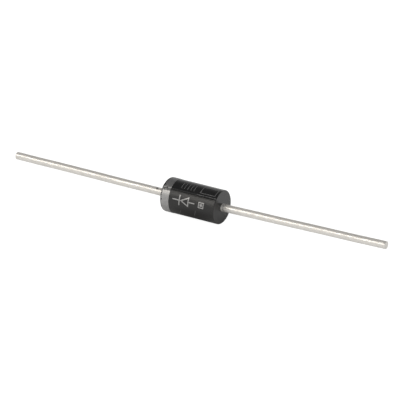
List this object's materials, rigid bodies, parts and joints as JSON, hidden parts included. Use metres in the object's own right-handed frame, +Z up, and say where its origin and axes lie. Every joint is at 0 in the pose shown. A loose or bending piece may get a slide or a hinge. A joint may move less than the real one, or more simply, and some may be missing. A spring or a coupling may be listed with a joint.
{
  "type": "axial rectifier diode",
  "caption": "Axial-lead rectifier diode: black moulded cylinder with a grey cathode band and a tinned wire lead out of each end.",
  "frame": {"origin": "middle of the body on its axis, where the chip lies", "axes": "+X along the body's axis towards the anode lead, so the banded cathode end is at -X; +Z up"},
  "size_m": [0.0655, 0.0054, 0.0054],
  "materials": {
    "moulding_compound": "black filled epoxy moulding compound, satin from the mould, with a polished upper half",
    "band_ink": "silver-grey marking ink, printed on the moulding, with a ragged outer edge",
    "tinned_wire": "tinned soft copper wire, bright satin, with fine drawing lines",
    "silicon": "polished silicon with sawn edges",
    "solder": "high-lead solder, dull satin",
    "silicone_coating": "white silicone rubber, soft sheen"
  },
  "bodies": {
    "root": {"epoxy_body": "moulding_compound", "cathode_band_ink": "band_ink", "cathode_lead": "tinned_wire", "anode_lead": "tinned_wire", "silicon_die": "silicon", "cathode_solder": "solder", "anode_solder": "solder", "junction_coating": "silicone_coating"}
  },
  "joints": []
}
